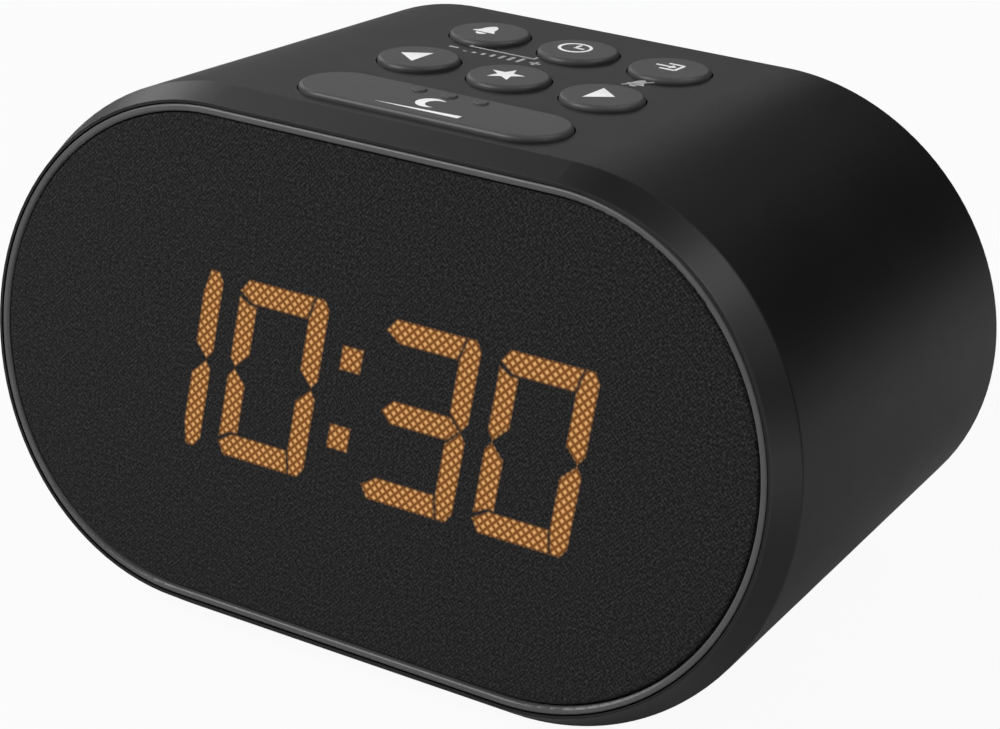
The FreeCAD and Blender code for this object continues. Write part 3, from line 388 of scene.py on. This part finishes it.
# The plain solid of the cloth is hidden by the sheet that replaces it.
BY_SLOT = {
    "housing_plastic": HOUSING, "frame_plastic": BEAD, "key_plastic": KEY, "cloth": INNER,
    "inner_plastic": INNER, "amber_resin": RESIN, "board": BOARD, "switch_plastic": SWITCH,
    "steel": STEEL, "dark_steel": DARK_STEEL, "tin": TIN, "socket_plastic": SOCKET,
    "cover_plastic": COVER, "rubber_feet": RUBBER, "speaker_steel": DARK_STEEL,
    "speaker_paper": PAPER, "magnet": MAGNET,
}


def dress_nodes():
    """Give each solid the material of its slot."""
    for part in frame["record"]["subparts"]:
        item = nodes[part["node"]]
        item.data.materials.clear()
        item.data.materials.append(BY_SLOT[part["material_slot"]])


# --- front ----------------------------------------------------------------------------------------

CLOTH_HALF = 35.2
CLOTH_RADIUS = 43.35
CLOTH_EDGE = ((0, -1.3), (0.08, -0.7), (0.25, -0.32), (0.5, -0.1), (0.9, 0))    # inset and depth
CLOTH_RISE = 0.15       # sheet in front of the cloth's plain solid
LEFT_EASE = 0.85        # how much less the sheet's edge turns in at the far left


def front_cloth():
    """The cloth as one stretched sheet whose edge turns in behind the bead."""
    mesh = bmesh.new()
    loops = []
    reach = CLOTH_HALF + CLOTH_RADIUS
    for inset, depth in CLOTH_EDGE:
        points = stadium(CLOTH_HALF, CLOTH_RADIUS - inset)
        loops.append([mesh.verts.new((x, y, depth * (1 - LEFT_EASE * max(0.0, -x / reach))))
                      for x, y in points])
    for outer, inner in zip(loops, loops[1:]):
        for i in range(len(outer)):
            j = (i + 1) % len(outer)
            mesh.faces.new((outer[i], outer[j], inner[j], inner[i]))
    mesh.faces.new(loops[-1])
    cloth = finish_piece("front_cloth", mesh, FACE.matrix(CLOTH_RISE), CLOTH, FIXED)
    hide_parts("fabric_cover")


# The time on the display: which of a digit's strokes glow, by where their middles are.
STROKES = {
    "top": (0, 1), "upper_right": (1, 0.5), "lower_right": (1, -0.5), "bottom": (0, -1),
    "lower_left": (-1, -0.5), "upper_left": (-1, 0.5), "centre": (0, 0),
}
SHOWN = [
    ("upper_right", "lower_right"),
    ("top", "upper_right", "lower_right", "bottom", "lower_left", "upper_left"),
    ("top", "upper_right", "lower_right", "bottom", "centre"),
    ("top", "upper_right", "lower_right", "bottom", "lower_left", "upper_left"),
]
DIGIT_MIDDLES = (-40.6, -17.6, 13.7, 36.7)
COLON_MIDDLE, COLON_REACH = -1.95, 2.0
STROKE_REACH = (7.55, 14.25)    # from a digit's middle to its outer strokes' middles
FADE_OUT, FADE_IN = 0.2, 0.42   # how far outside and inside its edge a stroke's light fades
LIFT = 0.03             # light in front of the sheet


def outlines_on(plane, node):
    """The outermost flat faces of a node's solids, in millimetres on a plane."""
    work = bmesh.new()
    work.from_mesh(nodes[node].data)
    bmesh.ops.remove_doubles(work, verts=work.verts, dist=1e-6)
    levels = {face: face.calc_center_median().dot(plane.normal) for face in work.faces}
    front = max(levels.values())
    others = [face for face, level in levels.items()
              if face.normal.dot(plane.normal) < 0.99 or level < front - MM]
    bmesh.ops.delete(work, geom=others, context="FACES")
    bmesh.ops.dissolve_limit(work, angle_limit=0.01, verts=work.verts, edges=work.edges)
    outlines = []
    for face in work.faces:
        spots = [corner.vert.co - plane.origin for corner in face.loops]
        outlines.append([(s.dot(RIGHT) / MM, s.dot(plane.up) / MM) for s in spots])
    work.free()
    return outlines


def grown(points, by):
    """A counter-clockwise outline with its edges moved outwards."""
    moved = []
    for before, here, after in zip(points[-1:] + points[:-1], points, points[1:] + points[:1]):
        first = (Vector(here) - Vector(before)).normalized()
        second = (Vector(after) - Vector(here)).normalized()
        sides = Vector((first.y, -first.x)) + Vector((second.y, -second.x))
        shift = sides * by / (1 + first.dot(second))
        moved.append((here[0] + shift.x, here[1] + shift.y))
    return moved


def faded(shapes):
    """Outlines as flat faces whose light fades across their edges."""
    mesh = bmesh.new()
    fade = mesh.verts.layers.float.new(FADE)
    for points in shapes:
        inner = [mesh.verts.new((x, y, 0)) for x, y in grown(points, -FADE_IN)]
        outer = [mesh.verts.new((x, y, 0)) for x, y in grown(points, FADE_OUT)]
        for corner in inner:
            corner[fade] = 1.0
        mesh.faces.new(inner)
        for i in range(len(points)):
            j = (i + 1) % len(points)
            mesh.faces.new((outer[i], outer[j], inner[j], inner[i]))
    return mesh


def lit_display():
    """The strokes and dots that glow, as seen on the cloth."""
    lit = []
    for points in outlines_on(FACE, "display_segments"):
        x, y = middle_of(points)
        middle = min(DIGIT_MIDDLES, key=lambda spot: abs(spot - x))
        spot = (x - middle) / STROKE_REACH[0], y / STROKE_REACH[1]
        name = min(STROKES, key=lambda stroke: math.dist(STROKES[stroke], spot))
        if abs(x - COLON_MIDDLE) < COLON_REACH or name in SHOWN[DIGIT_MIDDLES.index(middle)]:
            lit.append(points)
    finish_piece("lit_digits", faded(lit), FACE.matrix(CLOTH_RISE + LIFT), GLOW, FIXED)


# --- marks on the top -----------------------------------------------------------------------------

PRINT_THICK = 0.03
PRINT_GAP = PRINT_THICK / 4     # from the face behind to the print
KEY_PROUD = 0.95        # keys above the sleeve


def star(x, y, radius, inner=0.42):
    points = []
    for step in range(10):
        reach = radius if step % 2 == 0 else radius * inner
        angle = math.radians(90 + 36 * step)
        points.append((x + reach * math.cos(angle), y + reach * math.sin(angle)))
    return [points]


def bell(x, y, half):
    """A bell with its clapper, half of its height above its middle."""
    outline = [(-0.72, -0.38), (-0.66, -0.2), (-0.48, 0.0), (-0.39, 0.5), (-0.26, 0.78),
               (-0.12, 0.92), (0, 1.0), (0.12, 0.92), (0.26, 0.78), (0.39, 0.5), (0.48, 0.0),
               (0.66, -0.2), (0.72, -0.38)]
    body = [(x + across * half, y + up * half) for across, up in outline]
    clapper = arc(x, y - half * 0.55, half * 0.33, 180, 360, 12)
    return [body, clapper]


def crossed_bell(x, y, half):
    """A small bell with a stroke across it."""
    return bell(x, y, half) + [bar(x - half * 0.8, y - half * 0.9, x + half * 0.8, y + half, 0.45)]


def clock_face(x, y, radius, stroke=0.6):
    hands = [bar(x, y - stroke / 2, x, y + radius * 0.68, stroke),
             bar(x - stroke / 2, y, x + radius * 0.58, y, stroke)]
    return ring(x, y, radius, stroke) + hands


def arrow_in_box(x, y, half, stroke=0.6):
    """An arrow that points into a box open to the left."""
    left, right = x - half * 0.85, x + half * 0.85
    box = [bar(left, y + half, right, y + half, stroke),
           bar(right, y + half, right, y - half, stroke),
           bar(right, y - half, left, y - half, stroke)]
    arrow = [bar(x - half * 1.75, y, x, y, stroke),
             [(x - half * 0.15, y + half * 0.62), (x - half * 0.15, y - half * 0.62),
              (x + half * 0.5, y)]]
    return box + arrow


def triangle(tip, base, y, half):
    return [[(tip, y), (base, y + half), (base, y - half)]]


def moon(x, y, radius):
    """A crescent."""
    outer = arc(x, y, radius, 50, 310, 40)
    inner = arc(x + radius * 0.5, y, radius * 0.78, 282, 78, 32)
    return [outer + inner]


def level_bars(x, y, pitch, count, tallest, width=0.7):
    """Upright bars that rise to the right."""
    return [bar(x + step * pitch, y, x + step * pitch, y + tallest * (step + 1) / count, width)
            for step in range(count)]


def marks(name, plane, shapes, body, z=0.0, material=PRINT):
    finish_piece(name, plate(shapes, PRINT_THICK), plane.matrix(z + PRINT_GAP), material, body)


def key_marks():
    """White pictograms, each placed from the middle of its key."""
    signs = {
        "previous_key": triangle(-3.94, 0.8, -0.05, 3.45), "favourite_key": star(-0.65, -0.1, 3.55),
        "next_key": triangle(2.49, -1.96, 0.1, 3.6), "alarm_key": bell(-1.0, 0.35, 3.35),
        "clock_key": clock_face(-1.05, 0.6, 3.25), "source_key": arrow_in_box(0, 0.78, 1.85),
    }
    for key, shapes in signs.items():
        marks(f"{key}_mark", Plane(key, (0, 0, 1)), shapes, f"{key}_body")
    bar_top = Plane("snooze_bar", (0, 0, 1))
    wedge = [[(-8.5, -6.3), (8.5, -6.3), (8.5, -4.9)]]
    marks("snooze_mark", bar_top, moon(-0.3, -1.4, 2.7) + wedge, "snooze_body")


def sleeve_marks():
    """Grey signs on the sleeve between the keys, placed from the middle key of the front row."""
    plane = Plane("favourite_key", (0, 0, 1))
    stroke = 0.45
    bracket = [bar(-18.5, 15.1, -4.2, 15.1, stroke), bar(-18.3, 15.1, -18.3, 16.4, stroke),
               bar(-4.4, 15.1, -4.4, 16.4, stroke)]
    minus = [bar(-21.4, 12.6, -19.4, 12.6, 0.6)]
    plus = [bar(-3.7, 12.6, -1.5, 12.6, 0.6), bar(-2.6, 11.5, -2.6, 13.7, 0.6)]
    signs = bracket + minus + plus + level_bars(-17.2, 11.3, 1.9, 7, 2.8)
    marks("volume_marks", plane, signs, FIXED, -KEY_PROUD, FAINT_PRINT)
    marks("silent_mark", plane, crossed_bell(18.7, 13.3, 2.5), FIXED, -KEY_PROUD, FAINT_PRINT)


# --- screw drives ---------------------------------------------------------------------------------

DRIVE_REACH, DRIVE_WIDTH = 1.25, 0.62
FIRST_TURN, NEXT_TURN = 20, 67      # degrees, as no two screws stop at the same turn


def drives(name, node, toward):
    """A cross-shaped socket on each screw head of a node, drawn as a thin dark plate: painted shade
    of its recess.
    """
    plane = Plane(node, toward)
    crosses = []
    for number, points in enumerate(outlines_on(plane, node)):
        x, y = middle_of(points)
        turn = math.radians(FIRST_TURN + NEXT_TURN * number)
        for angle in (turn, turn + math.pi / 2):
            across, up = math.cos(angle) * DRIVE_REACH, math.sin(angle) * DRIVE_REACH
            crosses.append(bar(x - across, y - up, x + across, y + up, DRIVE_WIDTH))
    finish_piece(name, plate(crosses, PRINT_THICK), plane.matrix(PRINT_GAP), RECESS_SHADE, FIXED)


dress_nodes()
front_cloth()
lit_display()
key_marks()
sleeve_marks()
drives("rear_screw_drives", "rear_screws", (0, 1, 0))
drives("cell_door_screw_drive", "cell_door_screw", (0, 0, -1))


# --- floor, light and camera ----------------------------------------------------------------------

SEEN_GLOW = 0.94        # how much of the floor's white doesn't depend on the lamps
MIRRORED_GLOW = 0.05    # the same for the floor as it shows in the object
FLOOR_GAP = 0.0001      # metres from the feet down to the floor
FLOOR_SIZE = 30
FLOOR_TONE = (0.5, 0.5, 0.5, 1)
WHITE = (1, 1, 1, 1)
WORLD_GLOW = 0.005
LAMPS = [               # name, place, height aimed at, width, height, watts
    ("front_left", (-0.8, -0.9, 1.0), 0.05, 0.8, 0.8, 24),
    ("overhead", (0, 0.1, 1.4), 0, 1.2, 1.2, 0.9),
    ("low_left", (-1.22, 0.62, 0.5), 0.08, 0.4, 0.3, 1.25),
    ("middle_left", (-1.135, 0.655, 0.69), 0.08, 0.5, 0.3, 1.0),
    ("right", (1.0, 0.1, 1.0), 0.05, 0.8, 0.8, 2.5),
    ("upper_right", (0.64, 0.45, 1.16), 0.08, 0.35, 0.35, 3.6),
    ("low_right", (1.3, -0.35, 0.1), 0.04, 0.8, 0.16, 5),
    ("back_left", (-0.85, 1.25, 0.5), 0.08, 0.8, 0.4, 0.8),
    ("back", (0, 1.0, 1.1), 0.05, 0.8, 0.8, 0.9),
    ("upper_back_left", (-0.9, 0.67, 1.05), 0.08, 0.5, 0.5, 1.0),
]


def floor():
    """A pale floor that shows as white round its shadow."""
    bpy.ops.mesh.primitive_plane_add(size=FLOOR_SIZE)
    item = bpy.context.object
    item.name = "floor"
    item.location.z = -FLOOR_GAP
    material = bpy.data.materials.new("pale_floor")
    material.use_nodes = True
    tree = material.node_tree
    principled = tree.nodes["Principled BSDF"]
    principled.inputs["Base Color"].default_value = FLOOR_TONE
    principled.inputs["Roughness"].default_value = 0.9
    principled.inputs["Specular IOR Level"].default_value = 0.0
    glow = tree.nodes.new("ShaderNodeEmission")
    glow.inputs["Color"].default_value = WHITE
    path = tree.nodes.new("ShaderNodeLightPath")
    mirrored = maths(tree, "MAXIMUM", path.outputs["Is Glossy Ray"],
                     path.outputs["Is Transmission Ray"])
    seen = maths(tree, "MAXIMUM", maths(tree, "MULTIPLY", path.outputs["Is Camera Ray"], SEEN_GLOW),
                 maths(tree, "MULTIPLY", mirrored, MIRRORED_GLOW))
    mix = tree.nodes.new("ShaderNodeMixShader")
    link(tree, seen, mix.inputs["Fac"])
    link(tree, principled.outputs["BSDF"], mix.inputs[1])
    link(tree, glow.outputs["Emission"], mix.inputs[2])
    link(tree, mix.outputs["Shader"], tree.nodes["Material Output"].inputs["Surface"])
    item.data.materials.append(material)


def softbox(name, spot, aim_height, width, height, power):
    lamp = bpy.data.lights.new(name, "AREA")
    lamp.shape = "RECTANGLE"
    lamp.size, lamp.size_y = width, height
    lamp.energy = power
    item = bpy.data.objects.new(name, lamp)
    bpy.context.scene.collection.objects.link(item)
    item.location = spot
    toward = Vector((0, 0, aim_height)) - Vector(spot)
    item.rotation_euler = toward.to_track_quat("-Z", "Y").to_euler()


def studio():
    floor()
    for lamp in LAMPS:
        softbox(*lamp)
    world = bpy.data.worlds.new("studio")
    world.use_nodes = True
    background = world.node_tree.nodes["Background"]
    background.inputs["Color"].default_value = WHITE
    background.inputs["Strength"].default_value = WORLD_GLOW
    bpy.context.scene.world = world


CAMERA_SPOT = Vector((0.26581, -0.39607, 0.25917))
CAMERA_AZIMUTH = math.radians(33.558)
CAMERA_ELEVATION = math.radians(24.597)
CAMERA_ROLL = math.radians(-0.278)
CAMERA_LENS, CAMERA_SENSOR = 103.14, 36.0


def camera():
    data = bpy.data.cameras.new("camera")
    data.sensor_width = CAMERA_SENSOR
    data.lens = CAMERA_LENS
    item = bpy.data.objects.new("camera", data)
    bpy.context.scene.collection.objects.link(item)
    flat = math.cos(CAMERA_ELEVATION)
    back = Vector((math.sin(CAMERA_AZIMUTH) * flat, -math.cos(CAMERA_AZIMUTH) * flat,
                   math.sin(CAMERA_ELEVATION)))
    right = (-back).cross(Vector((0, 0, 1))).normalized()
    up = right.cross(-back)
    axes = Matrix((right, up, back)).transposed()
    turned = axes @ Matrix.Rotation(CAMERA_ROLL, 3, "Z")
    item.matrix_world = Matrix.Translation(CAMERA_SPOT) @ turned.to_4x4()
    bpy.context.scene.camera = item


studio()
camera()
bpy.context.scene.view_settings.view_transform = "Standard"
